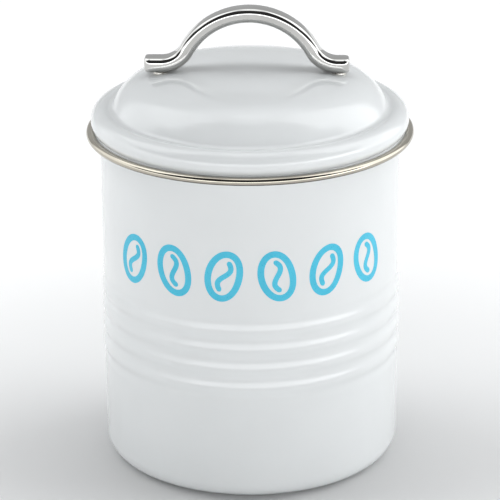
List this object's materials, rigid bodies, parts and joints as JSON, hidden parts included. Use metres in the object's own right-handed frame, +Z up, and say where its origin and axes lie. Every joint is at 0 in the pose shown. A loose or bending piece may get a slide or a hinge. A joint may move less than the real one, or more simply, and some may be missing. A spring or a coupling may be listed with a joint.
{
  "type": "lidded coffee tin",
  "caption": "Round enamelled steel storage tin with ribbed wall, domed lift-off lid, metal trim ring, plug seal and bent bar handle.",
  "frame": {"origin": "centre of the foot, on the surface the tin stands on", "axes": "+Z up along the tin's axis, +X along the handle towards its right foot, -Y towards the front"},
  "size_m": [0.118, 0.118, 0.168],
  "materials": {
    "enamel": "gloss white coating",
    "trim_steel": "polished stainless steel",
    "handle_chrome": "polished",
    "collar_plastic": "satin white moulding",
    "silicone": "soft matt",
    "fixing_steel": "bright zinc",
    "print_blue": "printed enamel"
  },
  "bodies": {
    "tin": {"body_shell": "enamel", "base_plate": "enamel"},
    "seal": {"seal_ring": "silicone"},
    "lid": {"lid_shell": "enamel", "lid_trim_ring": "trim_steel", "seal_collar": "collar_plastic", "handle": "handle_chrome", "handle_spacer_left": "fixing_steel", "handle_spacer_right": "fixing_steel", "handle_screw_left": "fixing_steel", "handle_screw_right": "fixing_steel", "screw_washer_left": "fixing_steel", "screw_washer_right": "fixing_steel"}
  },
  "joints": [
    {"name": "lid_lift", "type": "slide", "parent": "tin", "child": "seal", "axis": [0, 0, 1], "range_m": [0, 0.12]},
    {"name": "lid_turn", "type": "hinge", "parent": "seal", "child": "lid", "pos_m": [0, 0, 0.122], "axis": [0, 0, 1], "continuous": true}
  ]
}
